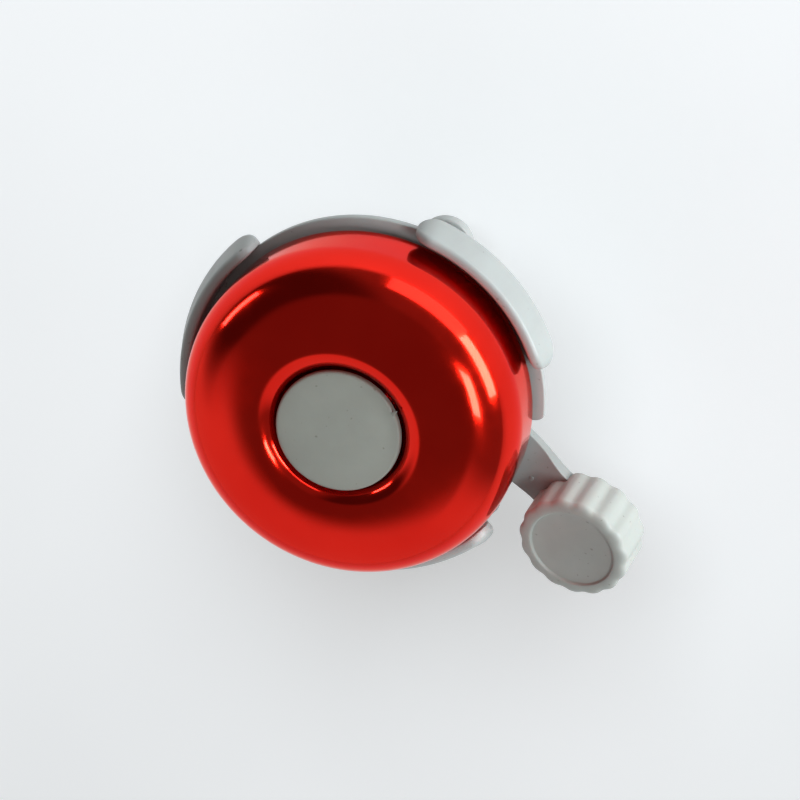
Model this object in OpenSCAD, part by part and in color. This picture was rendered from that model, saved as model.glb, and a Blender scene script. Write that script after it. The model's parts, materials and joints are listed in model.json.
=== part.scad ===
// Rotary bicycle bell: a spun aluminium dome on a moulded pan that clamps to a handlebar.
// A thumb lever turns a two-stage gear train, which spins a bar with two loose striker washers.
// Frame: origin on the handlebar axis at the middle of the clamp, +X along the handlebar
// towards the thumb knob, +Z along the dome axis. Millimetres.

/* [Handlebar clamp] */
// Diameter of the handlebar that the clamp closes on
bar_d = 22.2; // [22.0:0.1:22.6]
// Width of the clamp along the handlebar
clamp_w = 14; // [12:1:16]
// Wall thickness of the clamp saddle around the handlebar
saddle_wall = 2.5; // [2.2:0.1:2.8]
// Wall thickness of the removable strap
strap_t = 2.4; // [2.0:0.1:2.6]
// Gap left between the saddle ears and the strap ears
clamp_gap = 1.6; // [1.0:0.1:2.0]
// Distance from the handlebar axis to each clamp screw
screw_y = 18; // [17.8:0.1:18.4]
// Radius of the rounded ear around each clamp screw
ear_r = 4.6; // [4.4:0.1:5]
// Diameter of the clamp screws
screw_d = 3; // [2.5:0.1:3]

/* [Pan] */
// Height of the dome rim above the handlebar axis
rim_z = 23; // [22.6:0.1:24]
// Depth of the pan below the dome rim
pan_depth = 9.6; // [9.4:0.1:9.8]
// Thickness of the pan floor
pan_floor = 1.8; // [1.6:0.1:2.0]
// Outer radius of the lip around the pan
lip_r = 28.5; // [28:0.1:29]
// Start and end angle of the notch in the lip that clears the lever
lip_notch = [-18, 16]; // [-20:1:20]

/* [Guard claws] */
// Middle angle of each guard claw around the lip
claw_angles = [65.5, 179.7, 305.5]; // [0:0.1:359]
// Length of each guard claw in degrees of arc
claw_span = [59, 63, 60]; // [50:1:64]
// Height of the claw tops above the dome rim
claw_top = 3.5; // [3:0.1:4]
// Largest radius of a claw
claw_r = 31.4; // [31:0.1:32]

/* [Dome] */
// Outer radius of the dome
dome_r = 27; // [26.8:0.1:27.2]
// Wall thickness of the dome
dome_t = 1; // [0.8:0.1:1]
// Height of the straight skirt
skirt_h = 7.6; // [7:0.1:8]
// Radius of the rounded shoulder
shoulder_r = 9; // [8.5:0.1:9.5]
// Radius of the crest ring around the dish
crest_r = 13.6; // [13.2:0.1:14]
// Steepest slope of the dish wall in degrees
dish_slope = 60; // [56:1:62]
// Radius of the centre cap
cap_r = 9.9; // [9.5:0.1:10]
// Height of the cap edge above the dome rim
cap_edge = 16; // [15.8:0.1:16.3]

/* [Thumb lever] */
// Angle of the lever from +X at rest
lever_ang = -21.5; // [-22:0.5:-21]
// Distance from the dome axis to the lever centre line
lever_offset = 8.9; // [8.8:0.1:9.0]
// Distance along the lever from the foot of that offset to the pivot
pivot_along = 17.5; // [17.3:0.1:17.7]
// Distance along the lever from the foot of that offset to the knob
knob_along = 40.3; // [40:0.1:41]
// Width of the lever arm
lever_w = 8.4; // [8:0.1:8.6]
// Thickness of the lever arm
lever_t = 2.1; // [2:0.1:2.3]
// Working travel of the lever in degrees
lever_travel = 24; // [20:1:24]
// Sideways lean of the knob and the outer part of the arm, in degrees
knob_lean = 17; // [0:1:18]
// Radius of the thumb knob over its ribs
knob_r = 9.3; // [9:0.1:9.5]
// Height of the thumb knob
knob_h = 8.4; // [8:0.1:9]
// Number of ribs around the thumb knob
knob_ribs = 15; // [14:1:18]

/* [Gear train] */
// Gear module, millimetres of pitch diameter per tooth
gear_m = 0.8;
// Pressure angle of the teeth
gear_pa = 25;
// Teeth on a full circle of the lever sector
sector_n = 28;
// Teeth on the pinion of the compound gear
pinion_n = 10;
// Teeth on the wheel of the compound gear
wheel_n = 22;
// Teeth on the pinion of the striker rotor
rotor_n = 10;
// Amount each tooth is thinned for backlash
gear_thin = 0.1; // [0.08:0.01:0.14]

/* [Striker rotor] */
// Angle of the striker bar at rest
bar_ang = 62; // [0:1:180]
// Distance from the dome axis to each striker rivet
rivet_along = 18.4; // [18:0.1:18.4]
// Outer radius of the striker washers
washer_r = 6; // [5.8:0.1:6]
// Hole radius of the striker washers
washer_bore = 3.4; // [3.3:0.1:3.5]

/* [Hidden] */
$fn = 96;

eps = 0.01;
bar_r = bar_d / 2;
screw_r = screw_d / 2;
running = 0.05;             // radial clearance of a turning or sliding fit
lip_top = -1.6;             // heights below are measured from the dome rim
lip_bottom = -3;
floor_top = pan_floor - pan_depth;
pan_top_r = 27.3;
pan_floor_r = 23.2;
pan_wall = 1.5;
lever_top = -4;
lever_bottom = lever_top - lever_t;
wheel_bottom = lever_top + 0.3;
wheel_top = wheel_bottom + 2;
bar_bottom = -0.6;
bar_t = 1.2;
shoulder_z = 1;             // step of the centre stud that carries the dome spacer
journal_r = 1.9;            // centre stud where the rotor turns
thread_r = 1.5;             // centre stud where the dome nut sits
pivot_r = 1.5;
gear_pin_r = 1;
hub_r = 4.5;
ear_t = 3.6;
claw_bottom = lip_bottom - 0.2;
claw_mid = (claw_top + claw_bottom) / 2;
claw_end_r = (claw_top - claw_bottom) / 2 + 0.3;
claw_end_ang = asin(claw_end_r / lip_r);
lever_mid = (lever_top + lever_bottom) / 2;
arm_span = knob_along - pivot_along;
arm_flat = 7.5;             // length of arm that lies level, from the pivot
arm_lean_from = 13.5;       // distance from the pivot where the full lean is reached
arm_end_r = 5.2;
knob_wave = 0.35;           // depth of the flutes
knob_edge = 1;              // height and width of the sloping edge around the knob's face
knob_face_r = knob_r - knob_wave - knob_edge - 0.1;
recess_r = 7.05;
recess_d = 0.5;
knob_rib_at = 0;            // angle of one rib from the arm's direction
knob_peg_r = 3;
knob_peg_h = 6;
rivet_r = 2;
head_r = 3;                 // clamp screw head
head_t = 2.2;
nut_af = 5.5;
nut_corner = nut_af / sqrt(3);
nut_h = 2.4;
nut_z = clamp_gap / 2 + 1.6;
washer_t = 0.5;             // dome washer
dome_nut_t = 1.8;
spring_wire = 0.27;         // wire radius
spring_mean = 2.7;
spring_turns = 3;
spring_low = lever_top + 0.32;
spring_pitch = 0.58;
pin_bottom = -pan_depth + 0.6;

// Dome profile: shoulder arc, shallow crown arc, rolled crest and concave dish.
crown_join = 78;
roll_r = 3.5;
dish_r = 4.5;
shoulder_c = dome_r - shoulder_r;
crown_r = (shoulder_c + shoulder_r * cos(crown_join) - crest_r) / cos(crown_join);
crown_c = skirt_h + shoulder_r * sin(crown_join) - crown_r * sin(crown_join);
crest_z = crown_c + crown_r;
dish_c = [
    crest_r - (roll_r + dish_r) * sin(dish_slope),
    crest_z - roll_r + (roll_r + dish_r) * cos(dish_slope)
];
dish_z = dish_c.y - dish_r;

// Point on the lever centre line, a distance s from the foot of the offset.
function on_lever(s) = [
    -lever_offset * sin(lever_ang) + s * cos(lever_ang),
    lever_offset * cos(lever_ang) + s * sin(lever_ang)
];
pivot = on_lever(pivot_along);
spring_post = pivot + 6.5 * [cos(110), sin(110)];

// The compound gear sits where it meshes with both the lever sector and the rotor pinion.
sector_dist = gear_m * (sector_n + pinion_n) / 2;
wheel_dist = gear_m * (wheel_n + rotor_n) / 2;
pivot_dist = norm(pivot);
gear_dir = atan2(pivot.y, pivot.x)
    - acos((pivot_dist^2 + wheel_dist^2 - sector_dist^2) / (2 * pivot_dist * wheel_dist));
gear_at = wheel_dist * [cos(gear_dir), sin(gear_dir)];
mesh_dir = atan2(gear_at.y - pivot.y, gear_at.x - pivot.x);

function polar(r, a) = [r * cos(a), r * sin(a)];
function arc(c, r, a0, a1, n) = [for (i = [0:n]) c + polar(r, a0 + (a1 - a0) * i / n)];
function reverse(v) = [for (i = [len(v) - 1:-1:0]) v[i]];

// Involute teeth. Half angle of a tooth at radius r, for a gear of n teeth.
function inv(a) = tan(a) * 180 / PI - a;
function base_r(n) = gear_m * n / 2 * cos(gear_pa);
function tooth_half(n, r) =
    (PI * gear_m / 2 - gear_thin) / (gear_m * n) * 180 / PI
    + inv(gear_pa) - inv(acos(min(1, base_r(n) / r)));
function root_r(n) = gear_m * (n / 2 - 1);
function tip_r(n) = gear_m * (n / 2 + 0.8);
function flank_radii(n) = concat(
    root_r(n) < base_r(n) ? [root_r(n)] : [],
    [for (i = [0:4]) let (r0 = max(root_r(n), base_r(n))) r0 + (tip_r(n) - r0) * i / 4]
);
function tooth(n, a) = concat(
    [for (r = flank_radii(n)) polar(r, a - tooth_half(n, r))],
    [for (r = reverse(flank_radii(n))) polar(r, a + tooth_half(n, r))]
);

module at(p) {
    translate([p.x, p.y, 0]) children();
}

// Slab between two heights measured from the dome rim.
module slab(z0, z1) {
    translate([0, 0, rim_z + z0]) linear_extrude(z1 - z0) children();
}

module post(r, z0, z1) {
    translate([0, 0, rim_z + z0]) cylinder(r = r, h = z1 - z0);
}

// Full gear outline of n teeth with one tooth centred on angle a.
module gear(n, a) {
    polygon([for (k = [0:n - 1]) each tooth(n, a + 360 * k / n)]);
}

module ring_section(points, a0, a1) {
    rotate([0, 0, a0]) rotate_extrude(angle = a1 - a0) polygon(points);
}

// Outline of one pair of clamp ears, seen along the screws.
module ear_outline() {
    for (side = [-1, 1]) {
        translate([0, side * screw_y]) circle(ear_r);
        translate([-ear_r, side > 0 ? bar_r : -screw_y]) square([2 * ear_r, screw_y - bar_r]);
    }
}

module each_screw() {
    for (side = [-1, 1]) {
        translate([0, side * screw_y, 0]) children();
    }
}

module bar_cylinder(r, w) {
    rotate([0, 90, 0]) cylinder(r = r, h = w, center = true);
}

claw_profile = [
    [lip_r - 0.5, lip_bottom + 0.5], [lip_r - 0.5, lip_top - 0.3], [lip_r - 0.1, lip_top + 0.4],
    [lip_r - 0.1, claw_top - 0.6], [lip_r + 0.3, claw_top], [lip_r + 1, claw_top],
    [lip_r + 1.5, claw_top - 0.6], [claw_r, -1], [claw_r - 0.2, -2.3], [claw_r - 1.1, claw_bottom]
];

// One guard claw: a curved wall on the lip with rounded ends.
module claw(a, span) {
    body = span / 2 - claw_end_ang;
    translate([0, 0, rim_z]) difference() {
        ring_section(claw_profile, a - span / 2 - 2, a + span / 2 + 2);
        for (side = [-1, 1]) {
            rotate([0, 0, a + side * body]) difference() {
                translate([lip_r - 4, side > 0 ? 0 : -10, claw_bottom - 1])
                    cube([10, 10, claw_top - claw_bottom + 2]);
                translate([lip_r - 5, 0, claw_mid]) rotate([0, 90, 0])
                    cylinder(r = claw_end_r, h = 12);
            }
        }
    }
}

module pan_shell() {
    translate([0, 0, rim_z]) rotate_extrude() polygon([
        [0, -pan_depth], [pan_floor_r, -pan_depth], [pan_top_r, lip_bottom],
        [lip_r, lip_bottom], [lip_r, lip_top], [pan_top_r - pan_wall, lip_top],
        [pan_top_r - pan_wall, lip_bottom], [pan_floor_r - 1.2, floor_top], [0, floor_top]
    ]);
}

// Space swept by the lever arm, as a wedge from the pivot.
module lever_sweep(grow) {
    reach = 20;
    half = lever_w / 2 + grow;
    low = [sin(lever_ang), -cos(lever_ang)];
    high = [-sin(lever_ang + lever_travel), cos(lever_ang + lever_travel)];
    polygon([
        pivot + half * low,
        pivot + half * low + polar(reach, lever_ang),
        pivot + half * high + polar(reach, lever_ang + lever_travel),
        pivot + half * high
    ]);
    translate(pivot) circle(half);
}

module base() {
    color([0.62, 0.63, 0.6]) difference() {
        union() {
            pan_shell();
            for (i = [0:2]) {
                claw(claw_angles[i], claw_span[i]);
            }
            at(pivot) post(3, floor_top - eps, lever_bottom - 0.1);
            at(gear_at) post(2.6, floor_top - eps, lever_bottom - 0.1);
            at(spring_post) post(0.9, floor_top - eps, -1.3);
            post(4.2, floor_top - eps, wheel_bottom - 0.1);
            saddle();
        }
        bar_cylinder(bar_r, 3 * clamp_w);
        // Window in the pan wall and notch in the lip for the lever
        slab(floor_top + 0.6, lip_bottom - 0.2) difference() {
            lever_sweep(0.6);
            circle(20);
        }
        translate([0, 0, rim_z + lip_bottom - 1]) rotate([0, 0, lip_notch[0]])
            rotate_extrude(angle = lip_notch[1] - lip_notch[0])
            translate([pan_top_r - pan_wall - 1.2, 0]) square([6, 3]);
        each_screw() {
            translate([0, 0, clamp_gap / 2 - eps]) cylinder(r = screw_r + 0.25, h = ear_t + 1);
            translate([0, 0, nut_z]) rotate([0, 0, 30])
                cylinder(r = nut_corner, h = 7.4, $fn = 6);
        }
        at(pivot) post(pivot_r, pin_bottom, 0);
        at(gear_at) post(gear_pin_r, pin_bottom, 0);
        post(journal_r, -pan_depth - 0.6, 0);
    }
}

// Upper half of the clamp, moulded to the underside of the pan.
module saddle() {
    intersection() {
        bar_cylinder(bar_r + saddle_wall, clamp_w);
        translate([-clamp_w, -40, clamp_gap / 2]) cube([2 * clamp_w, 80, 40]);
    }
    block_top = rim_z - pan_depth + eps;
    rotate([90, 0, 90]) translate([0, 0, -clamp_w / 2]) linear_extrude(clamp_w) polygon([
        [-12.6, 4], [12.6, 4], [15.4, block_top], [-15.4, block_top]
    ]);
    translate([0, 0, clamp_gap / 2]) linear_extrude(ear_t) ear_outline();
}

module clamp_strap() {
    color([0.66, 0.67, 0.64]) difference() {
        union() {
            intersection() {
                bar_cylinder(bar_r + strap_t, clamp_w);
                translate([-clamp_w, -40, -40 - clamp_gap / 2]) cube([2 * clamp_w, 80, 40]);
            }
            translate([0, 0, -clamp_gap / 2 - strap_t]) linear_extrude(strap_t) ear_outline();
        }
        bar_cylinder(bar_r, 3 * clamp_w);
        each_screw() {
            translate([0, 0, -10]) cylinder(r = screw_r + running, h = 10);
        }
    }
}

// Pan-head screw entering the strap ear from below.
module clamp_screw(side) {
    head_top = -clamp_gap / 2 - strap_t;
    color("silver") translate([0, side * screw_y, 0]) difference() {
        union() {
            translate([0, 0, head_top]) cylinder(r = screw_r, h = 10);
            translate([0, 0, head_top - 1.4]) cylinder(r = head_r, h = 1.4);
            translate([0, 0, head_top - head_t]) cylinder(r1 = head_r - 0.8, r2 = head_r, h = 0.8);
        }
        translate([-head_r - 1, -0.4, head_top - head_t - 0.1]) cube([2 * head_r + 2, 0.8, 1.2]);
    }
}

module clamp_nut(side) {
    color("silver") translate([0, side * screw_y, nut_z]) difference() {
        rotate([0, 0, 30]) cylinder(r = nut_corner, h = nut_h, $fn = 6);
        translate([0, 0, -1]) cylinder(r = screw_r + running, h = 6);
    }
}

// Frame on the middle of the arm, X along it from the pivot, leaning about X.
module along_arm(lean) {
    translate([pivot.x, pivot.y, rim_z + lever_mid]) rotate([0, 0, lever_ang]) rotate([lean, 0, 0])
        children();
}

module arm_plate(x0, x1, inset) {
    w = lever_w - 2 * inset;
    t = lever_t - 2 * inset;
    translate([x0, -w / 2, -t / 2]) cube([x1 - x0, w, t]);
}

// Lever: hub, toothed sector, and an arm that twists to lean sideways and ends inside the knob.
module thumb_lever() {
    color([0.5, 0.5, 0.49]) difference() {
        union() {
            slab(lever_bottom, lever_top) translate(pivot) {
                circle(hub_r);
                rotate(lever_ang) translate([0, -lever_w / 2]) square([arm_flat, lever_w]);
                sector_outline();
            }
            hull() {
                along_arm(0) arm_plate(arm_flat - 0.2, arm_flat - 0.1, eps);
                along_arm(knob_lean) arm_plate(arm_lean_from, arm_lean_from + 0.1, eps);
            }
            along_arm(knob_lean) {
                arm_plate(arm_lean_from, arm_span, 0);
                translate([arm_span, 0, -lever_t / 2]) cylinder(r = arm_end_r, h = lever_t);
                translate([arm_span, 0, 0]) cylinder(r = knob_peg_r, h = knob_peg_h);
            }
            at(pivot + polar(4.3, lever_ang + 10)) post(0.7, lever_top - eps, -2.4);
        }
        at(pivot) post(pivot_r + running, lever_bottom - 1, 0);
    }
}

// Five teeth of the sector, from one beyond the rest contact to one beyond the last.
module sector_outline() {
    step = 360 / sector_n;
    first = -3;
    last = 1;
    edge = 0.72;
    polygon(concat(
        [[0, 0], polar(root_r(sector_n), mesh_dir + (first - edge) * step)],
        [for (k = [first:last]) each tooth(sector_n, mesh_dir + k * step)],
        [polar(root_r(sector_n), mesh_dir + (last + edge) * step)]
    ));
}

// Fluted thumb knob with a shallow round recess in its face and a slot below for the arm.
module thumb_knob() {
    clear = 0.1;
    under = lever_t + clear;
    color([0.6, 0.6, 0.57]) along_arm(knob_lean) translate([arm_span, 0, -lever_t / 2]) difference() {
        union() {
            linear_extrude(knob_h - knob_edge) polygon([
                for (a = [0:360 / (knob_ribs * 8):359.9])
                    polar(knob_r - knob_wave * (1 - cos((a - knob_rib_at) * knob_ribs)) / 2, a)
            ]);
            translate([0, 0, knob_h - knob_edge - eps])
                cylinder(r1 = knob_face_r + knob_edge, r2 = knob_face_r, h = knob_edge + eps);
        }
        translate([0, 0, knob_h - recess_d]) cylinder(r = recess_r, h = 1);
        translate([0, 0, -1]) cylinder(r = arm_end_r + clear, h = under + 1);
        translate([-knob_r - 1, -lever_w / 2 - clear, -1])
            cube([knob_r + 1, lever_w + 2 * clear, under + 1]);
        cylinder(r = knob_peg_r, h = lever_t / 2 + knob_peg_h);
    }
}

module headed_pin(p, r, head_r, z0, head_z, head_t) {
    color("silver") at(p) {
        post(r, z0, head_z + eps);
        post(head_r, head_z, head_z + head_t);
    }
}

module lever_pivot_pin() {
    headed_pin(pivot, pivot_r, 3.2, pin_bottom, -1.55, 0.6);
}

module gear_pin() {
    headed_pin(gear_at, gear_pin_r, 2.2, pin_bottom, wheel_top + 0.1, 0.6);
}

// Torsion spring: a helix around the pivot pin, with one leg to the lever and one to the pan.
function spring_path() = concat(
    [[spring_mean, -3.4, 0]],
    [for (i = [0:20 * spring_turns]) let (a = i * 18)
        [spring_mean * cos(a), spring_mean * sin(a), spring_pitch * a / 360]],
    [[spring_mean, 4.6, spring_pitch * spring_turns]]
);

function tangent(path, i) = let (d = path[min(i + 1, len(path) - 1)] - path[max(i - 1, 0)])
    d / norm(d);

module wire(path, r) {
    sides = 8;
    rings = [for (i = [0:len(path) - 1]) let (
        t = tangent(path, i),
        u = cross([0, 0, 1], t) / norm(cross([0, 0, 1], t)),
        v = cross(t, u)
    ) [for (k = [0:sides - 1]) path[i] + r * (cos(360 * k / sides) * u + sin(360 * k / sides) * v)]];
    last = len(path) - 1;
    polyhedron(
        points = [for (ring = rings) each ring],
        faces = concat(
            [[for (k = [0:sides - 1]) k]],
            [for (i = [0:last - 1], k = [0:sides - 1]) let (n = (k + 1) % sides)
                [i * sides + k, (i + 1) * sides + k, (i + 1) * sides + n, i * sides + n]],
            [[for (k = [sides - 1:-1:0]) last * sides + k]]
        )
    );
}

module return_spring() {
    color("silver") at(pivot) translate([0, 0, rim_z + spring_low]) rotate([0, 0, 20])
        wire(spring_path(), spring_wire);
}

// Pinion below, wheel above, moulded as one gear.
module compound_gear() {
    to_centre = gear_dir + 180;
    color("ivory") at(gear_at) difference() {
        union() {
            slab(lever_bottom, wheel_bottom + eps) gear(pinion_n, mesh_dir + 180 + 180 / pinion_n);
            slab(wheel_bottom, wheel_top) gear(wheel_n, to_centre);
        }
        post(gear_pin_r + running, lever_bottom - 1, 0);
    }
}

module centre_stud() {
    color("silver") {
        post(journal_r, -pan_depth - 0.6, shoulder_z);
        post(thread_r, shoulder_z - eps, dish_z + 2.3);
    }
}

module rotor_pinion() {
    color("ivory") difference() {
        union() {
            slab(wheel_bottom, wheel_top) gear(rotor_n, gear_dir + 180 / rotor_n);
            post(2.95, wheel_top - eps, bar_bottom + bar_t);
        }
        post(journal_r + running, wheel_bottom - 1, shoulder_z + 1);
    }
}

module striker_bar() {
    color("silver") difference() {
        slab(bar_bottom, bar_bottom + bar_t) union() {
            circle(5);
            rotate(bar_ang) {
                translate([-rivet_along, -3]) square([2 * rivet_along, 6]);
                for (side = [-1, 1]) {
                    translate([side * rivet_along, 0]) circle(3.6);
                }
            }
        }
        post(2.95, bar_bottom - 1, bar_bottom + bar_t + 1);
        for (side = [-1, 1]) {
            at(polar(side * rivet_along, bar_ang)) post(rivet_r, bar_bottom - 1, bar_bottom + 3);
        }
    }
}

// Shouldered rivet that keeps a loose washer on the bar.
module striker_rivet(side) {
    color("silver") at(polar(side * rivet_along, bar_ang)) {
        post(rivet_r, bar_bottom, 2.9 + eps);
        post(4, 2.9, 3.6);
    }
}

module striker_washer(side) {
    color("silver") at(polar(side * rivet_along, bar_ang)) difference() {
        post(washer_r, 0.7, 2.7);
        post(washer_bore, 0, 4);
    }
}

module dome_spacer() {
    color("silver") difference() {
        post(3.4, shoulder_z, dish_z - dome_t);
        post(thread_r + running, shoulder_z - 1, dish_z + 1);
    }
}

// Half section of the dome, moved inwards by d from the outer face.
function dome_profile(d) = concat(
    [[dome_r - d, 0]],
    arc([shoulder_c, skirt_h], shoulder_r - d, 0, crown_join, 12),
    arc([crest_r, crown_c], crown_r - d, crown_join + 3, 90, 4),
    arc([crest_r, crest_z - roll_r], roll_r - d, 90 + dish_slope / 5, 90 + dish_slope, 4),
    arc(dish_c, dish_r + d, dish_slope - 90 - dish_slope / 6, -90, 5)
);

module dome() {
    color([0.8, 0.08, 0.04]) translate([0, 0, rim_z]) rotate_extrude() polygon(concat(
        dome_profile(0),
        [[thread_r + 0.1, dish_z], [thread_r + 0.1, dish_z - dome_t]],
        reverse(dome_profile(dome_t))
    ));
}

module dome_washer() {
    color("silver") difference() {
        post(4.5, dish_z, dish_z + washer_t);
        post(thread_r + running, dish_z - 1, dish_z + 2);
    }
}

module dome_nut() {
    z0 = dish_z + washer_t;
    color("silver") difference() {
        translate([0, 0, rim_z + z0]) cylinder(r = 5.5 / sqrt(3), h = dome_nut_t, $fn = 6);
        post(thread_r + running, z0 - 1, z0 + 3);
    }
}

// Snap cap over the dome nut: a crowned disc with a collar that grips the washer rim.
module centre_cap() {
    under = dish_z + washer_t + dome_nut_t + 0.05;
    color([0.54, 0.55, 0.52]) translate([0, 0, rim_z]) rotate_extrude() polygon([
        [0, under], [4.5, under], [4.5, dish_z + 0.1], [5.6, dish_z + 0.1], [5.6, under],
        [8.9, under], [8.9, 14.75], [cap_r, 14.9], [cap_r, cap_edge - 0.3],
        [cap_r - 0.3, cap_edge], [6, cap_edge + 0.25], [0, cap_edge + 0.35]
    ]);
}

base();
clamp_strap();
clamp_screw(1);  // clamp_screw_a
clamp_screw(-1);  // clamp_screw_b
clamp_nut(1);  // clamp_nut_a
clamp_nut(-1);  // clamp_nut_b
thumb_lever();
thumb_knob();
lever_pivot_pin();
return_spring();
compound_gear();
gear_pin();
centre_stud();
rotor_pinion();
striker_bar();
striker_rivet(1);  // striker_rivet_a
striker_rivet(-1);  // striker_rivet_b
striker_washer(1);  // striker_washer_a
striker_washer(-1);  // striker_washer_b
dome_spacer();
dome();
dome_washer();
dome_nut();
centre_cap();
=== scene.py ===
"""Rotary handlebar bell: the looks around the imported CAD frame. Metres, row frame, +Z up the dome axis."""
import json
import math

import bmesh
import bpy
from mathutils import Matrix, Vector


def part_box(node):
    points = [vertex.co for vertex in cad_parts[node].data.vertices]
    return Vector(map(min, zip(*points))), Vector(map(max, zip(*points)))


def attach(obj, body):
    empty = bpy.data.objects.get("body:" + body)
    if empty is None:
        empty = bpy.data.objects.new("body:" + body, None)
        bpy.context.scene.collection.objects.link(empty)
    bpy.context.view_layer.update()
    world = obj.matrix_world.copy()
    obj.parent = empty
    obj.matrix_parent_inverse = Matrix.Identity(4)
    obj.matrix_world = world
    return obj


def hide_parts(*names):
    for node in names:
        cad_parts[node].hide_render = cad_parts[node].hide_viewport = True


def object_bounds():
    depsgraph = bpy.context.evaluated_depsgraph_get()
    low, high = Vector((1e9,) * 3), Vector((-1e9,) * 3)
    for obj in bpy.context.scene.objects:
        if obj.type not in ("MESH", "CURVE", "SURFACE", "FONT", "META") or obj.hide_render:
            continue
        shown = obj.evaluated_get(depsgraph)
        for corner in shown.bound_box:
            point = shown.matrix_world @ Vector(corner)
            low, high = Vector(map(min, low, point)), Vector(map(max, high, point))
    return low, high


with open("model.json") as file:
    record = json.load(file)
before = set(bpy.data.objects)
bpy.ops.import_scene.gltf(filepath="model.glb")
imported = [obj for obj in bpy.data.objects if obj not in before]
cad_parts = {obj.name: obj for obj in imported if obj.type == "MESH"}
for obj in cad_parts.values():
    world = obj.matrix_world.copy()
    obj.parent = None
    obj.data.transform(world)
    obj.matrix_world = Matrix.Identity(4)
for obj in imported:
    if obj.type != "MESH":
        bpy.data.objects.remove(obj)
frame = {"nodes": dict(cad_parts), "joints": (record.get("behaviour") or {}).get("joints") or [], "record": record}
cad_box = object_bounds()

MM = 0.001
SHARP_FROM = 38             # degrees between faces

# ---------------------------------------------------------------- places read from the frame
dome_low, dome_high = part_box("dome")
cap_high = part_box("centre_cap")[1]
strap_low, strap_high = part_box("clamp_strap")
joints = {j["name"]: j for j in frame["joints"]}
RIM = dome_low.z / MM
DOME_R = dome_high.x / MM
CAP_R = cap_high.x / MM
PIVOT = Vector(joints["lever_swing"]["pos_m"]) / MM
BAR_R = frame["record"]["mounts"][0]["dims"]["r_mm"]
CLAMP_W = (strap_high.x - strap_low.x) / MM


# ---------------------------------------------------------------- shape building, in millimetres
def arc(cx, cy, r, a0, a1, n):
    """Points on an arc, angles in degrees."""
    angles = [math.radians(a0 + (a1 - a0) * i / n) for i in range(n + 1)]
    return [(cx + r * math.cos(a), cy + r * math.sin(a)) for a in angles]


def rounded(points, radius, n=4):
    """A closed outline with its corners rounded. A point may carry its own radius as a third value."""
    out = []
    for i, point in enumerate(points):
        p = Vector(point[:2])
        before = Vector(points[i - 1][:2]) - p
        after = Vector(points[(i + 1) % len(points)][:2]) - p
        r = point[2] if len(point) > 2 else radius
        cut = min(r, 0.45 * before.length, 0.45 * after.length)
        a = p + before.normalized() * cut
        b = p + after.normalized() * cut
        for k in range(n + 1):
            t = k / n
            out.append(tuple(a * (1 - t) ** 2 + p * 2 * t * (1 - t) + b * t * t))
    return out


def inset(loop, d):
    """A closed anticlockwise outline moved inwards by d."""
    out = []
    for i, p in enumerate(loop):
        q, s = Vector(loop[i - 1]), Vector(loop[(i + 1) % len(loop)])
        along = (s - q).normalized()
        out.append((p[0] - along.y * d, p[1] + along.x * d))
    return out


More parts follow.
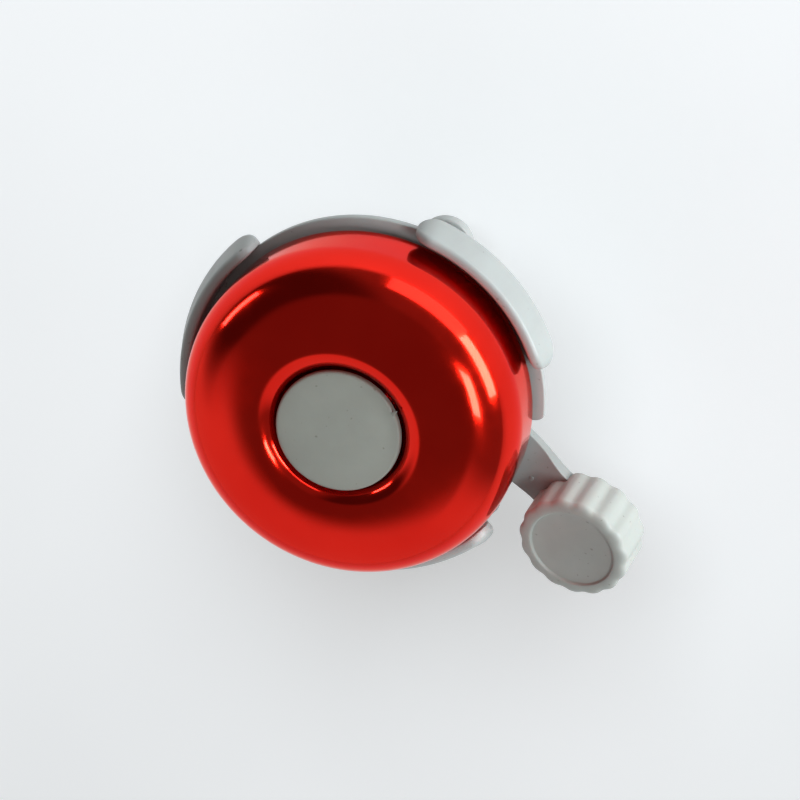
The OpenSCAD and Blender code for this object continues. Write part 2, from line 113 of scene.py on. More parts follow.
class Shape:
    """Closed shells gathered in one mesh. The matrix at places whatever is added next."""

    def __init__(self):
        self.bm = bmesh.new()
        self.at = Matrix.Identity(4)

    def row(self, points):
        return [self.bm.verts.new((self.at @ Vector(p)) * MM) for p in points]

    def join(self, a, b, closed=True):
        n = len(a)
        for i in range(n if closed else n - 1):
            j = (i + 1) % n
            self.bm.faces.new((a[i], a[j], b[j], b[i]))

    def loft(self, rings):
        """Closed rings joined in order, with both ends filled."""
        rows = [self.row(r) for r in rings]
        for a, b in zip(rows, rows[1:]):
            self.join(a, b)
        self.bm.faces.new(rows[0][::-1])
        self.bm.faces.new(rows[-1])

    def lathe(self, profile, segments=192):
        """A (radius, height) profile turned round Z, and closed into a loop unless it starts on the axis."""
        on_axis = profile[0][0] < 1e-6
        turn = [2 * math.pi * k / segments for k in range(segments)]
        rows = []
        for r, z in profile:
            if r < 1e-6:
                rows.append(self.row([(0, 0, z)]))
            else:
                rows.append(self.row([(r * math.cos(a), r * math.sin(a), z) for a in turn]))
        pairs = list(zip(rows, rows[1:])) + ([] if on_axis else [(rows[-1], rows[0])])
        for a, b in pairs:
            if len(a) == 1 or len(b) == 1:
                pole, ring = (a[0], b) if len(a) == 1 else (b[0], a)
                for k in range(segments):
                    self.bm.faces.new((pole, ring[k], ring[(k + 1) % segments]))
            else:
                self.join(a, b)

    def lathe_at(self, x, y, z, profile, segments):
        """A small turned feature standing at a point of the current frame."""
        keep = self.at
        self.at = keep @ Matrix.Translation((x, y, z))
        self.lathe(profile, segments)
        self.at = keep

    def plate(self, outline, z0, z1, edge, hole=None, pocket=None):
        """A flat plate with rounded edges. A hole has as many points as the outline, in the same order.
        A pocket is a wider hole from a given height up: (outline, height)."""
        bottom = []
        for k in range(5):
            a = math.pi / 2 * k / 4
            shrunk = inset(outline, edge * (1 - math.sin(a)))
            bottom.append([(x, y, z0 + edge * (1 - math.cos(a))) for x, y in shrunk])
        rings = bottom + [[(x, y, z0 + z1 - z) for x, y, z in ring] for ring in reversed(bottom)]
        rows = [self.row(ring) for ring in rings]
        for a, b in zip(rows, rows[1:]):
            self.join(a, b)
        if hole is None:
            self.bm.faces.new(rows[0][::-1])
            self.bm.faces.new(rows[-1])
            return
        chamfer = 0.1
        steps = [(hole, z0, chamfer), (hole, z0 + chamfer, 0)]
        mouth = hole
        if pocket:
            mouth, floor_z = pocket
            steps += [(hole, floor_z, 0), (mouth, floor_z, 0)]
        steps += [(mouth, z1 - chamfer, 0), (mouth, z1, chamfer)]
        inner = [self.row([(x, y, z) for x, y in inset(loop, -wider)]) for loop, z, wider in steps]
        for a, b in zip(inner, inner[1:]):
            self.join(a, b)
        self.join(rows[0], inner[0])
        self.join(rows[-1], inner[-1])

    def sweep(self, outline, a0, a1, nose, pin, squeeze):
        """A closed (radius, height) outline swept from a0 to a1 degrees. Each end narrows to a rounded
        nose: the outline shrinks towards pin, by the share that squeeze gives for radius and height."""
        length = math.radians(a1 - a0) * pin[0]
        head = [nose * (1 - math.cos(math.pi / 2 * i / 12)) for i in range(12)]
        steps = max(8, round(length / 0.9))
        body = [nose + (length - 2 * nose) * i / steps for i in range(steps + 1)]
        rings = []
        for s in head + body + [length - h for h in reversed(head)]:
            gap = max(0.0, nose - min(s, length - s)) / nose
            k = max(0.12, math.sqrt(max(0.0, 1 - gap * gap)))
            kr, kz = (1 - q * (1 - k) for q in squeeze)
            a = math.radians(a0) + s / pin[0]
            ring = []
            for r, z in outline:
                rr = pin[0] + (r - pin[0]) * kr
                ring.append((rr * math.cos(a), rr * math.sin(a), pin[1] + (z - pin[1]) * kz))
            rings.append(ring)
        self.loft(rings)

    def done(self, name, material, body, *nodes):
        """Turns the shells into one piece that rides on body and stands for the CAD nodes."""
        bmesh.ops.recalc_face_normals(self.bm, faces=self.bm.faces)
        mesh = bpy.data.meshes.new(name)
        self.bm.to_mesh(mesh)
        self.bm.free()
        mesh.shade_smooth()
        mesh.set_sharp_from_angle(angle=math.radians(SHARP_FROM))
        ob = bpy.data.objects.new(name, mesh)
        bpy.context.scene.collection.objects.link(ob)
        ob.data.materials.append(MATERIALS[material])
        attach(ob, body)
        if nodes:
            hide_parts(*nodes)
        return ob


def ray_outline(outline, centre, n):
    """The outline as n points, one on each ray from centre, so that a round hole can be joined to it."""
    out = []
    for k in range(n):
        a = 2 * math.pi * k / n
        d = Vector((math.cos(a), math.sin(a)))
        far = 0.0
        for i, p in enumerate(outline):
            e0, e1 = Vector(outline[i - 1]) - centre, Vector(p) - centre
            det = d.x * (e1.y - e0.y) - d.y * (e1.x - e0.x)
            if abs(det) < 1e-9:
                continue
            t = (e0.x * (e1.y - e0.y) - e0.y * (e1.x - e0.x)) / det
            u = (e0.x * d.y - e0.y * d.x) / det
            if t > far and -1e-6 <= u <= 1 + 1e-6:
                far = t
        out.append(tuple(centre + d * far))
    return out


def circle(centre, r, n):
    return [(centre[0] + r * math.cos(2 * math.pi * k / n), centre[1] + r * math.sin(2 * math.pi * k / n))
            for k in range(n)]


# ---------------------------------------------------------------- materials
class Graph:
    """Small helper for node materials."""

    def __init__(self, name):
        self.mat = bpy.data.materials.new(name)
        self.mat.use_nodes = True
        self.nodes = self.mat.node_tree.nodes
        self.links = self.mat.node_tree.links
        self.shader = self.nodes["Principled BSDF"]
        self.coords = self.nodes.new("ShaderNodeTexCoord").outputs["Object"]

    def set(self, **values):
        for key, value in values.items():
            self.shader.inputs[key.replace("_", " ")].default_value = value

    def noise(self, scale, detail=3.0, rough=0.55, stretch=None):
        n = self.nodes.new("ShaderNodeTexNoise")
        n.inputs["Scale"].default_value = scale
        n.inputs["Detail"].default_value = detail
        n.inputs["Roughness"].default_value = rough
        source = self.coords
        if stretch:
            m = self.nodes.new("ShaderNodeMapping")
            m.inputs["Scale"].default_value = stretch
            self.links.new(self.coords, m.inputs["Vector"])
            source = m.outputs["Vector"]
        self.links.new(source, n.inputs["Vector"])
        return n.outputs["Fac"]

    def ramp(self, source, stops):
        r = self.nodes.new("ShaderNodeValToRGB")
        while len(r.color_ramp.elements) < len(stops):
            r.color_ramp.elements.new(0.5)
        for element, (place, colour) in zip(r.color_ramp.elements, stops):
            element.position = place
            element.color = (*colour, 1)
        self.links.new(source, r.inputs["Fac"])
        return r.outputs["Color"]

    def grey(self, source, low, high, at=(0.35, 0.65)):
        m = self.nodes.new("ShaderNodeMapRange")
        m.inputs["From Min"].default_value, m.inputs["From Max"].default_value = at
        m.inputs["To Min"].default_value, m.inputs["To Max"].default_value = low, high
        self.links.new(source, m.inputs["Value"])
        return m.outputs["Result"]

    def mix(self, factor, a, b, blend="MIX"):
        m = self.nodes.new("ShaderNodeMix")
        m.data_type = "RGBA"
        m.blend_type = blend
        for socket, value in ((m.inputs[0], factor), (m.inputs[6], a), (m.inputs[7], b)):
            if hasattr(value, "is_output"):
                self.links.new(value, socket)
            else:
                socket.default_value = value
        return m.outputs[2]

    def bump(self, *layers):
        """Stacks (height, strength, distance) bumps on the normal."""
        normal = None
        for height, strength, distance in layers:
            b = self.nodes.new("ShaderNodeBump")
            b.inputs["Strength"].default_value = strength
            b.inputs["Distance"].default_value = distance
            self.links.new(height, b.inputs["Height"])
            if normal:
                self.links.new(normal, b.inputs["Normal"])
            normal = b.outputs["Normal"]
        self.links.new(normal, self.shader.inputs["Normal"])

    def into(self, source, socket):
        self.links.new(source, self.shader.inputs[socket])


def plastic(name, colour, rough=0.42):
    """Moulded light grey plastic: faint flow marks, a fine spark-eroded texture and a few specks."""
    g = Graph(name)
    flow = g.noise(90, 4, 0.6, (1, 1, 0.45))
    dark = tuple(c * 0.93 for c in colour)
    light = tuple(min(1, c * 1.05) for c in colour)
    base = g.ramp(flow, [(0.32, dark), (0.68, light)])
    specks = g.ramp(g.noise(1300, 1, 0.4), [(0.0, (1, 1, 1)), (0.735, (1, 1, 1)), (0.78, (0.7, 0.68, 0.65))])
    g.into(g.mix(1.0, base, specks, "MULTIPLY"), "Base Color")
    g.into(g.grey(g.noise(260, 3), rough - 0.05, rough + 0.08), "Roughness")
    g.set(Specular_IOR_Level=0.45, Subsurface_Weight=0.06, Subsurface_Scale=0.0008)
    g.bump((g.noise(1700, 2, 0.5), 0.16, 0.00006), (g.noise(55, 2), 0.12, 0.0003))
    return g.mat


def red_lacquer():
    """Spun aluminium under a clear red lacquer: circular spinning marks, faint dents and a glossy coat."""
    g = Graph("red_dome")
    split = g.nodes.new("ShaderNodeSeparateXYZ")
    g.links.new(g.coords, split.inputs["Vector"])
    radius = g.nodes.new("ShaderNodeVectorMath")
    radius.operation = "LENGTH"
    flat = g.nodes.new("ShaderNodeCombineXYZ")
    g.links.new(split.outputs["X"], flat.inputs["X"])
    g.links.new(split.outputs["Y"], flat.inputs["Y"])
    g.links.new(flat.outputs["Vector"], radius.inputs[0])
    rings = g.nodes.new("ShaderNodeCombineXYZ")
    g.links.new(radius.outputs["Value"], rings.inputs["X"])
    g.links.new(split.outputs["Z"], rings.inputs["Y"])
    marks = g.nodes.new("ShaderNodeTexNoise")
    marks.inputs["Scale"].default_value = 2600
    marks.inputs["Detail"].default_value = 2
    g.links.new(rings.outputs["Vector"], marks.inputs["Vector"])
    soft = g.noise(70, 2, 0.5)
    g.into(g.ramp(soft, [(0.3, (0.82, 0.012, 0.004)), (0.7, (0.90, 0.018, 0.007))]), "Base Color")
    g.into(g.grey(g.noise(180, 3), 0.11, 0.17), "Roughness")
    g.set(Metallic=1.0, Coat_Weight=0.45, Coat_Roughness=0.05, Coat_IOR=1.28)
    g.shader.inputs["Specular Tint"].default_value = (1.0, 0.45, 0.4, 1)
    g.bump((marks.outputs["Fac"], 0.05, 0.00002), (g.noise(45, 1.5), 0.10, 0.0004))
    return g.mat


def steel(name, colour, rough, scale=900):
    """Plated or bare steel with fine directionless scuffs."""
    g = Graph(name)
    patch = g.noise(140, 3)
    dark = tuple(c * 0.82 for c in colour)
    g.into(g.ramp(patch, [(0.3, dark), (0.7, colour)]), "Base Color")
    g.into(g.grey(g.noise(scale, 4, 0.65), rough - 0.07, rough + 0.12), "Roughness")
    g.set(Metallic=1.0)
    g.bump((g.noise(scale * 2, 2), 0.10, 0.00003))
    return g.mat


MATERIALS = {
    "shell_plastic": plastic("shell_plastic", (0.330, 0.342, 0.332)),
    "strap_plastic": plastic("strap_plastic", (0.340, 0.350, 0.340)),
    # lever_plastic is the same grey plastic made darker: painted shade for the arm, which lies in the shadow of
    # the dome and the knob
    "lever_plastic": plastic("lever_plastic", (0.240, 0.252, 0.242)),
    "knob_plastic": plastic("knob_plastic", (0.350, 0.360, 0.335), 0.46),
    "cap_plastic": plastic("cap_plastic", (0.300, 0.305, 0.270), 0.44),
    "gear_plastic": plastic("gear_plastic", (0.78, 0.75, 0.64), 0.35),
    "red_dome": red_lacquer(),
    "zinc_steel": steel("zinc_steel", (0.74, 0.74, 0.72), 0.30),
    "spring_steel": steel("spring_steel", (0.42, 0.42, 0.43), 0.28),
}

for part in frame["record"]["subparts"]:
    slots = frame["nodes"][part["node"]].data.materials
    slots.clear()
    slots.append(MATERIALS[part["material_slot"]])


# ---------------------------------------------------------------- the dome
SKIRT = 7.6                 # height of the upright wall
SHOULDER_R = DOME_R / 3
CREST_R = 13.6              # radius at which the dome is highest
CROWN_JOIN = 78             # degrees of the shoulder's arc
ROLL_R = 3.5                # where the crown rolls over into the dish
DISH_R = 4.5
DISH_SLOPE = 60
SHEET = 1.0
STUD_HOLE_R = 1.6


def dome_profile(d):
    """Half section of the dome, moved inwards by d from its outer face, from rim to dish floor."""
    c = DOME_R - SHOULDER_R
    join = math.radians(CROWN_JOIN)
    crown_r = (c + SHOULDER_R * math.cos(join) - CREST_R) / math.cos(join)
    crown_c = SKIRT + SHOULDER_R * math.sin(join) - crown_r * math.sin(join)
    crest = crown_c + crown_r
    slope = math.radians(DISH_SLOPE)
    reach = ROLL_R + DISH_R
    dish = (CREST_R - reach * math.sin(slope), crest - ROLL_R + reach * math.cos(slope))
    skirt = [(DOME_R - d, SKIRT * i / 8) for i in range(1, 8)]
    return (skirt + arc(c, SKIRT, SHOULDER_R - d, 0, CROWN_JOIN, 36)
            + arc(CREST_R, crown_c, crown_r - d, CROWN_JOIN + 0.8, 90, 14)
            + arc(CREST_R, crest - ROLL_R, ROLL_R - d, 95, 90 + DISH_SLOPE, 14)
            + arc(dish[0], dish[1], DISH_R + d, DISH_SLOPE - 94, -90, 16))


def build_dome():
    s = Shape()
    s.at = Matrix.Translation((0, 0, RIM))
    outer, inner = dome_profile(0), dome_profile(SHEET)
    rim = arc(DOME_R - SHEET / 2, SHEET / 2, SHEET / 2, 180, 360, 8)
    hole = [(STUD_HOLE_R, outer[-1][1]), (STUD_HOLE_R, inner[-1][1])]
    s.lathe(rim + outer + hole + inner[::-1], 256)
    return s.done("gong_dome", "red_dome", "bell_body", "dome")


# ---------------------------------------------------------------- the cap in the dish
CAP_UNDER = -1.0            # heights below the middle of the cap's face
COLLAR_LOW = -3.0
COLLAR_R = (4.5, 5.6)
FLASH_ANG = 46


def build_cap():
    s = Shape()
    s.at = Matrix.Translation((0, 0, cap_high.z / MM))
    r0, r1 = COLLAR_R
    collar = [(r0, CAP_UNDER), (r0, COLLAR_LOW), (r1, COLLAR_LOW), (r1, CAP_UNDER)]
    edge = [(8.8, CAP_UNDER), (8.9, -1.5), (9.2, -1.6), (CAP_R - 0.15, -1.5), (CAP_R, -1.35)]
    top = arc(CAP_R - 0.45, -0.8, 0.45, 0, 80, 6)
    crown = [(CAP_R - 0.7, -0.33), (CAP_R * 0.75, -0.17), (CAP_R * 0.5, -0.07), (CAP_R * 0.25, -0.02), (0, 0)]
    s.lathe([(0, CAP_UNDER)] + collar + edge + top + crown)
    # a stub of moulding flash on the cap's edge
    a = math.radians(FLASH_ANG)
    out = Vector((math.cos(a), math.sin(a), 0))
    side = Vector((-math.sin(a), math.cos(a), 0))
    foot = out * (CAP_R - 0.5) + Vector((0, 0, -0.5))
    tip = out * (CAP_R + 0.9) + side * 0.5 + Vector((0, 0, 0.35))
    rings = []
    for i in range(6):
        t = i / 5
        mid = foot.lerp(tip, t)
        w = 0.36 * (1 - t) + 0.07
        rings.append([mid + side * w * math.cos(b) + Vector((0, 0, 0.12 * (1 - 0.7 * t) * math.sin(b)))
                      for b in (2 * math.pi * k / 10 for k in range(10))])
    s.loft([[tuple(p) for p in ring] for ring in rings])
    return s.done("cap_disc", "cap_plastic", "bell_body", "centre_cap")


# ---------------------------------------------------------------- the thumb lever and its knob
LEVER_ANG = -21.5           # the resting arm's direction, in degrees
ARM_SPAN = 22.8             # from the pivot to the middle of the knob
ARM_FROM = 2.6
ARM_W = 8.4
ARM_T = 2.1
ARM_FLAT, ARM_LEANS = 7.0, 14.0     # the twist begins and ends at these distances from the pivot
ARM_END_R = 5.2
LEAN = 17                   # the knob's lean about the arm, in degrees
ARM_MID = RIM - 4 - ARM_T / 2
HUB_R = 4.5
PIVOT_BORE_R = 1.55
MODULE = 0.8
SECTOR_TEETH = 28           # on the sector's full circle
SECTOR_FOOT_R = 3
SECTOR_EDGE = 0.72          # of a tooth step, from the last tooth to the sector's edge
BACKLASH = 0.1
SPRING_PIN = (4.3, 10)      # distance from the pivot, and degrees from the arm
SPRING_PIN_FROM = 0.5
EJECTOR_STUB = (-11.7, -1.0)        # from the middle of the knob, along and across the arm
KNOB_R = 9.3
KNOB_H = 8.4
KNOB_DROP = 1.0             # how far the edge falls away around the face
FACE_R = 7.2
RIBS = 15
FLUTE = 0.42                # depth between two ribs
RECESS_R = 7.05


def arm_frame(lean):
    """On the middle of the arm at the pivot: X along the arm, leaning about X."""
    return (Matrix.Translation((PIVOT.x, PIVOT.y, ARM_MID)) @ Matrix.Rotation(math.radians(LEVER_ANG), 4, "Z")
            @ Matrix.Rotation(math.radians(lean), 4, "X"))


def tooth(module, teeth, angle, thin, pressure=math.radians(25)):
    """Outline of one involute tooth."""
    base = module * teeth / 2 * math.cos(pressure)
    low, high = module * (teeth / 2 - 1), module * (teeth / 2 + 0.8)
    involute = lambda a: math.tan(a) - a
    side = []
    for i in range(6):
        r = low + (high - low) * i / 5
        half = ((math.pi * module / 2 - thin) / (module * teeth) + involute(pressure)
                - involute(math.acos(min(1, base / r))))
        side.append((r, half))
    return ([(r * math.cos(angle - h), r * math.sin(angle - h)) for r, h in side]
            + [(r * math.cos(angle + h), r * math.sin(angle + h)) for r, h in reversed(side)])


def build_lever():
    s = Shape()
    half = ARM_T / 2
    # hub with its bore, and the toothed sector beside it
    s.at = arm_frame(0)
    hub = arc(0, 0, HUB_R, 60, 300, 60) + [(HUB_R, -ARM_W / 2 + 0.1), (HUB_R, ARM_W / 2 - 0.1)]
    n = 96
    bore = circle((0, 0), PIVOT_BORE_R, n)
    s.plate(ray_outline(hub, Vector((0, 0)), n), -half - 0.02, half + 0.02, 0.15, bore)
    gear = Vector(joints["gear_spin"]["pos_m"]) / MM - PIVOT
    mesh_at = math.atan2(gear.y, gear.x) - math.radians(LEVER_ANG)
    root = MODULE * (SECTOR_TEETH / 2 - 1)
    first, last = -3, 1

    def polar(r, teeth_on):
        a = mesh_at + teeth_on * 2 * math.pi / SECTOR_TEETH
        return r * math.cos(a), r * math.sin(a)

    sector = [polar(SECTOR_FOOT_R, first), polar(root, first - SECTOR_EDGE)]
    for k in range(first, last + 1):
        sector += tooth(MODULE, SECTOR_TEETH, mesh_at + k * 2 * math.pi / SECTOR_TEETH, BACKLASH)
    sector += [polar(root, last + SECTOR_EDGE), polar(SECTOR_FOOT_R, last)]
    s.loft([[(x, y, -half) for x, y in sector], [(x, y, half) for x, y in sector]])
    # the arm: level at the hub, then twisting until it leans as the knob does
    w = ARM_W / 2
    section = rounded([(-w, -half), (w, -half), (w, half), (-w, half)], 0.22, 4)
    rings = []
    s.at = Matrix.Identity(4)
    steps = 60
    for i in range(steps + 1):
        x = ARM_FROM + (ARM_SPAN - ARM_FROM) * i / steps
        t = min(1, max(0, (x - ARM_FLAT) / (ARM_LEANS - ARM_FLAT)))
        turn = arm_frame(LEAN * t * t * (3 - 2 * t))
        rings.append([tuple(turn @ Vector((x, y, z))) for y, z in section])
    s.loft(rings)
    s.at = arm_frame(LEAN)
    s.plate(circle((ARM_SPAN, 0), ARM_END_R, 72), -half + 0.02, half - 0.02, 0.2)
    # a stub left by the mould's ejector on the arm, and the pin that holds the spring's leg
    s.at = arm_frame(LEAN * 0.8)
    stub = [(0, 0), (0.42, 0), (0.36, 0.25), (0.2, 0.34), (0, 0.36)]
    s.lathe_at(ARM_SPAN + EJECTOR_STUB[0], EJECTOR_STUB[1], half - 0.05, stub, 20)
    s.at = arm_frame(0)
    r, a = SPRING_PIN[0], math.radians(SPRING_PIN[1])
    pin = [(0, 0), (0.7, 0), (0.7, 1.95), (0.55, 2.1), (0, 2.1)]
    s.lathe_at(r * math.cos(a), r * math.sin(a), SPRING_PIN_FROM, pin, 24)
    return s.done("lever_arm", "lever_plastic", "lever", "thumb_lever")


def build_knob():
    s = Shape()
    s.at = arm_frame(LEAN) @ Matrix.Translation((ARM_SPAN, 0, -ARM_T / 2))
    n = RIBS * 20

    def ring(r, z, flute):
        pts = []
        for k in range(n):
            a = 2 * math.pi * k / n
            valley = ((1 - math.cos(a * RIBS)) / 2) ** 1.35
            rr = r - flute * valley
            pts.append((rr * math.cos(a), rr * math.sin(a), z))
        return pts

    sill = KNOB_H - KNOB_DROP
    rings = [ring(5.4, 2.4, 0), ring(7.6, 2.3, 0), ring(7.75, 0.3, 0), ring(7.9, 0.12, 0),
             ring(KNOB_R - 0.45, 0.12, 0.3), ring(KNOB_R - 0.2, 0.2, 0.38), ring(KNOB_R - 0.05, 0.5, FLUTE)]
    rings += [ring(KNOB_R - 0.05 * abs(1 - i / 5), 0.5 + (sill - 0.5) * i / 10, FLUTE) for i in range(1, 11)]
    # the edge falls away around the face
    for i in range(1, 13):
        a = math.pi / 2 * i / 12
        rings.append(ring(FACE_R + (KNOB_R - 0.05 - FACE_R) * math.cos(a) ** 0.8,
                          sill + KNOB_DROP * math.sin(a) ** 0.9, FLUTE * math.cos(a) ** 0.7 * 0.8))
    rings += [ring(RECESS_R + 0.08, KNOB_H - 0.04, 0), ring(RECESS_R, KNOB_H - 0.16, 0),
              ring(RECESS_R - 0.14, KNOB_H - 0.4, 0), ring(RECESS_R - 0.4, KNOB_H - 0.48, 0),
              ring(RECESS_R * 0.6, KNOB_H - 0.45, 0), ring(RECESS_R * 0.15, KNOB_H - 0.43, 0)]
    s.loft(rings)
    return s.done("knob_fluted", "knob_plastic", "lever", "thumb_knob")


# ---------------------------------------------------------------- the base: pan, lip, claws, saddle
# heights are from the dome's rim, and angles in degrees about the dome's axis
LIP_R = 28.5
LIP_IN_R = 25.8
LIP_TOP, LIP_BOTTOM = -1.6, -3.0
PAN_DEPTH = 9.6
PAN_FLOOR_T = 1.8
WALL_FROM = -7.0            # above this the pan's wall has a window for the lever
CLAWS = ((65.5, 59), (179.7, 63), (305.5, 60))      # middle and span of each
CLAW_TOP = 3.5
CLAW_NOSE = 3.3
LIP_SPAN = (16, 342)
WALL_SPAN = (18.5, 342)
# the bosses on the pan's floor: joint, radius, depth of the top below the rim
BOSSES = (("lever_swing", 3.0, 6.2), ("gear_spin", 2.6, 6.2), ("rotor_spin", 4.2, 3.8))


def add_claw(s, middle, span):
    foot = LIP_BOTTOM - 0.2
    inner = LIP_R - 0.1
    outline = rounded([
        (inner, foot, 0.4), (LIP_R + 1.9, foot, 0.5), (LIP_R + 2.75, -2.2, 0.6),
        (LIP_R + 2.9, -1.0, 0.8), (LIP_R + 1.5, CLAW_TOP, 0.7), (inner, CLAW_TOP, 0.6)], 0.5, 5)
    pin = (LIP_R + 0.6, (CLAW_TOP + foot) / 2)
    s.sweep(outline, middle - span / 2, middle + span / 2, CLAW_NOSE, pin, (0.75, 1))


def add_pan(s):
    floor = PAN_FLOOR_T - PAN_DEPTH
    s.lathe([(0, -PAN_DEPTH)] + arc(22.4, -PAN_DEPTH + 1, 1, -90, -30, 6)
            + [(24.82, WALL_FROM), (22.6, WALL_FROM), (22.0, floor + 0.1), (21.6, floor), (0, floor)])
    low, high = WALL_FROM - 0.1, LIP_BOTTOM + 0.1
    wall = [(24.75, low), (27.3, high), (LIP_IN_R, high), (22.55, low)]
    s.sweep(wall, *WALL_SPAN, 0.3, (25, -5), (0.2, 0))
    corners = [(LIP_IN_R, LIP_BOTTOM), (LIP_R, LIP_BOTTOM), (LIP_R, LIP_TOP), (LIP_IN_R, LIP_TOP)]
    lip = rounded(corners, 0.3, 4)
    s.sweep(lip, *LIP_SPAN, 1.1, (LIP_IN_R + 0.1, (LIP_BOTTOM + LIP_TOP) / 2), (0.75, 0.2))


CLAMP_GAP = 0.8             # half of the slit between the clamp halves
SADDLE_WALL = 2.5
SADDLE_MEET = 4.6           # height at which the bore's wall runs into the flank
STRAP_WALL = 2.4
CLAMP_EDGE = 0.35
EAR_R = 4.6
EAR_ROOT_Y = 11.6
EAR_TOP = 4.4
BASE_HOLE_R, STRAP_HOLE_R = 1.75, 1.6
NUT_POCKET_R = 3.25         # to the corners
NUT_POCKET_Z = 2.4
SCREW_Y = joints["screw_a_turn"]["pos_m"][1] / MM
# stands an outline up in the YZ plane, with its thickness along the bar
ALONG_BAR = Matrix(((0, 0, 1, 0), (1, 0, 0, 0), (0, 1, 0, 0), (0, 0, 0, 1)))


def height_angle(height, r):
    """Degrees above the clamp's middle plane at which a circle round the bar reaches a height."""
    return math.degrees(math.asin(height / r))


def add_saddle(s):
    r = BAR_R + SADDLE_WALL
    low, bore_low = height_angle(CLAMP_GAP, r), height_angle(CLAMP_GAP, BAR_R)
    meet = height_angle(SADDLE_MEET, r)
    flank = [(13.4, 7.2), (14.4, 10.6), (15.6, RIM - PAN_DEPTH + 0.5)]
    outline = arc(0, 0, r, low, meet, 8) + flank
    outline += [(-y, z) for y, z in reversed(flank)] + arc(0, 0, r, 180 - meet, 180 - low, 8)
    outline += arc(0, 0, BAR_R, 180 - bore_low, bore_low, 60)
    s.at = ALONG_BAR
    s.plate(outline, -CLAMP_W / 2, CLAMP_W / 2, CLAMP_EDGE)
    s.at = Matrix.Identity(4)


def add_ears(s, z0, z1, hole_r, pocket_z=None):
    """The rounded tongues on both sides of a clamp half, with their screw holes."""
    n = 144
    for side in (1, -1):
        centre = Vector((0, side * SCREW_Y))
        root = side * EAR_ROOT_Y
        if side > 0:
            tongue = arc(0, SCREW_Y, EAR_R, 0, 180, 40) + [(-EAR_R, root), (EAR_R, root)]
        else:
            tongue = arc(0, -SCREW_Y, EAR_R, 180, 360, 40) + [(EAR_R, root), (-EAR_R, root)]
        pocket = None
        if pocket_z:
            hexagon = [tuple(centre + Vector((math.cos(a), math.sin(a))) * NUT_POCKET_R)
                       for a in (math.radians(30 + 60 * k) for k in range(6))]
            pocket = (ray_outline(hexagon, centre, n), pocket_z)
        s.plate(ray_outline(tongue, centre, n), z0, z1, CLAMP_EDGE, circle(centre, hole_r, n), pocket)


def build_base():
    s = Shape()
    s.at = Matrix.Translation((0, 0, RIM))
    add_pan(s)
    for middle, span in CLAWS:
        add_claw(s, middle, span)
    for name, r, depth in BOSSES:
        x, y = (v / MM for v in joints[name]["pos_m"][:2])
        s.at = Matrix.Translation((x, y, RIM - PAN_DEPTH + 1))
        top = PAN_DEPTH - 1 - depth
        foot = [(0, 0), (r + 0.3, 0), (r + 0.1, 1.2), (r, 1.6)]
        s.lathe(foot + [(r, top - 0.2), (r - 0.2, top), (0, top)], 48)
    s.at = Matrix.Identity(4)
    add_saddle(s)
    add_ears(s, CLAMP_GAP, EAR_TOP, BASE_HOLE_R, NUT_POCKET_Z)
    return s.done("base_moulding", "shell_plastic", "bell_body", "base")


def build_strap():
    s = Shape()
    r = BAR_R + STRAP_WALL
    low, bore_low = height_angle(CLAMP_GAP, r), height_angle(CLAMP_GAP, BAR_R)
    outline = arc(0, 0, r, 180 + low, 360 - low, 72) + arc(0, 0, BAR_R, 360 - bore_low, 180 + bore_low, 60)
    s.at = ALONG_BAR
    s.plate(outline, -CLAMP_W / 2, CLAMP_W / 2, CLAMP_EDGE)
    s.at = Matrix.Identity(4)
    add_ears(s, -CLAMP_GAP - STRAP_WALL, -CLAMP_GAP, STRAP_HOLE_R)
    return s.done("strap_moulding", "strap_plastic", "strap", "clamp_strap")


build_dome()
build_cap()
build_lever()
build_knob()
build_base()
build_strap()


# ---------------------------------------------------------------- floor, light and camera
def build_floor():
    g = Graph("pale_floor")
    g.into(g.ramp(g.noise(9, 3), [(0.3, (0.78, 0.80, 0.82)), (0.7, (0.82, 0.84, 0.86))]), "Base Color")
    g.set(Roughness=0.6, Specular_IOR_Level=0.3, Emission_Strength=0.28)
    g.shader.inputs["Emission Color"].default_value = (1.0, 0.98, 0.96, 1)
    bm = bmesh.new()
    bmesh.ops.create_grid(bm, x_segments=8, y_segments=8, size=3.0)
    mesh = bpy.data.meshes.new("floor")
    bm.to_mesh(mesh)
    bm.free()
    ob = bpy.data.objects.new("floor", mesh)
    ob.location.z = cad_box[0][2] - 0.0002
    mesh.materials.append(g.mat)
    bpy.context.scene.collection.objects.link(ob)
    return ob


def direction(azimuth, elevation):
    a, e = math.radians(azimuth), math.radians(elevation)
    return Vector((math.cos(e) * math.cos(a), math.cos(e) * math.sin(a), math.sin(e)))


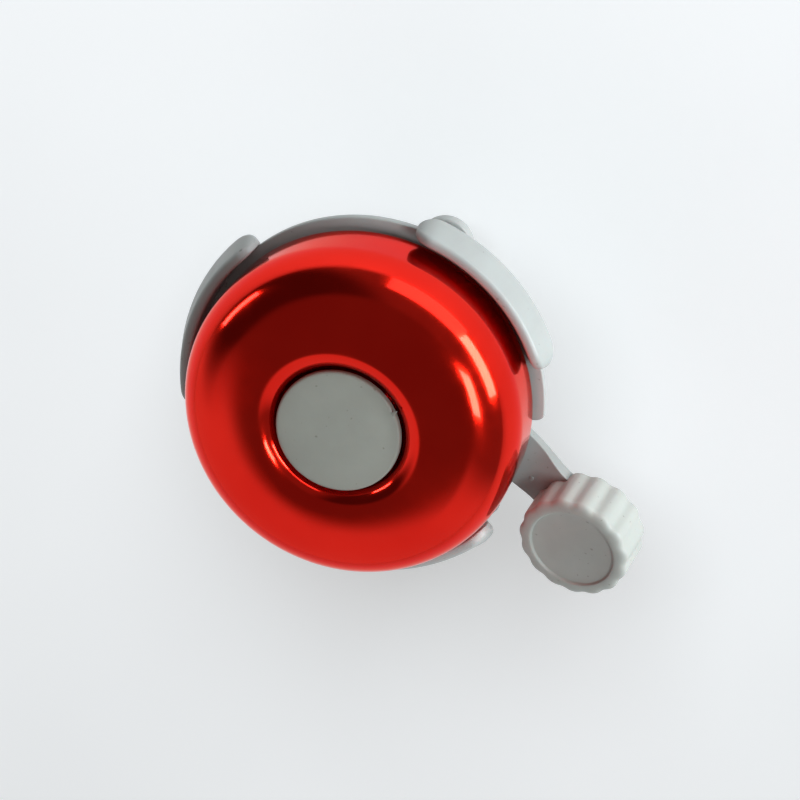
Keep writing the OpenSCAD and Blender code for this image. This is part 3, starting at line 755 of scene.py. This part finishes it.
def build_world():
    """A dim room with one broad bright side, a dark corner and a dark ceiling over the bell."""
    world = bpy.data.worlds.new("studio")
    bpy.context.scene.world = world
    world.use_nodes = True
    nodes, links = world.node_tree.nodes, world.node_tree.links
    coords = nodes.new("ShaderNodeTexCoord").outputs["Generated"]

    def patch(azimuth, elevation, inside, outside):
        toward = nodes.new("ShaderNodeVectorMath")
        toward.operation = "DOT_PRODUCT"
        toward.inputs[1].default_value = direction(azimuth, elevation)
        links.new(coords, toward.inputs[0])
        fade = nodes.new("ShaderNodeMapRange")
        fade.interpolation_type = "SMOOTHSTEP"
        fade.inputs["From Min"].default_value = math.cos(math.radians(outside))
        fade.inputs["From Max"].default_value = math.cos(math.radians(inside))
        links.new(toward.outputs["Value"], fade.inputs["Value"])
        return fade.outputs["Result"]

    def blend(factor, a, b):
        mix = nodes.new("ShaderNodeMix")
        mix.data_type = "RGBA"
        links.new(factor, mix.inputs[0])
        for socket, value in ((mix.inputs[6], a), (mix.inputs[7], b)):
            if hasattr(value, "is_output"):
                links.new(value, socket)
            else:
                socket.default_value = (*value, 1)
        return mix.outputs[2]

    colour = blend(patch(-95, 0, 58, 80), (0.22, 0.22, 0.215), (0.70, 0.71, 0.72))
    colour = blend(patch(165, 34, 30, 54), colour, (0.06, 0.055, 0.05))
    colour = blend(patch(0, 90, 32, 43), colour, (0.16, 0.15, 0.14))
    # the camera sees an even pale backdrop where the floor ends
    colour = blend(nodes.new("ShaderNodeLightPath").outputs["Is Camera Ray"], colour, (0.74, 0.76, 0.78))
    links.new(colour, nodes["Background"].inputs["Color"])


def area_light(name, azimuth, elevation, width, height, watts, distance=0.7):
    lamp = bpy.data.lights.new(name, "AREA")
    lamp.shape = "RECTANGLE"
    lamp.size, lamp.size_y = width, height
    lamp.energy = watts
    lamp.color = (0.91, 0.97, 1.0)
    ob = bpy.data.objects.new(name, lamp)
    target = Vector((0, 0, dome_low.z))
    ob.location = target + direction(azimuth, elevation) * distance
    ob.rotation_euler = (target - ob.location).to_track_quat("-Z", "Y").to_euler()
    bpy.context.scene.collection.objects.link(ob)
    return ob


def build_camera():
    """Looks down on the dome from the clamp ear's side, rolled so that the knob is at the lower right."""
    azimuth, elevation, roll = 81.016, 61.891, 146.29
    distance = 0.35
    aim = Vector((5.40, 0.81, RIM - 0.88)) * MM
    back = direction(azimuth, elevation)
    level_up = (Vector((0, 0, 1)) - back * back.z).normalized()
    level_right = level_up.cross(back)
    r = math.radians(roll)
    up = level_up * math.cos(r) + level_right * math.sin(r)
    right = up.cross(back)
    data = bpy.data.cameras.new("camera")
    data.lens = 99.56
    data.sensor_width = 36
    data.clip_start = 0.01
    ob = bpy.data.objects.new("camera", data)
    turn = Matrix((right, up, back)).transposed().to_4x4()
    ob.matrix_world = Matrix.Translation(aim + back * distance) @ turn
    bpy.context.scene.collection.objects.link(ob)
    bpy.context.scene.camera = ob


def build_lights(floor):
    """Four windows light the bell, and a soft panel overhead lights the floor alone."""
    all_but_floor = bpy.data.collections.new("all_but_floor")
    all_but_floor.objects.link(floor)
    all_but_floor.collection_objects[0].light_linking.link_state = "EXCLUDE"
    floor_alone = bpy.data.collections.new("floor_alone")
    floor_alone.objects.link(floor)
    for name, azimuth, elevation, width, height, watts, lit in (
            ("window_high", 19, 48, 0.24, 0.14, 2.3, all_but_floor),
            ("window_low", 38, 12, 0.42, 0.20, 6.0, all_but_floor),
            ("window_side", 78, 8, 0.60, 0.36, 1.7, all_but_floor),
            ("window_far", 180, 11, 0.26, 0.08, 0.6, all_but_floor),
            ("ceiling", 98, 50, 0.50, 0.50, 4.0, floor_alone)):
        area_light(name, azimuth, elevation, width, height, watts).light_linking.receiver_collection = lit


build_lights(build_floor())
build_world()
build_camera()
bpy.context.scene.view_settings.view_transform = "Standard"
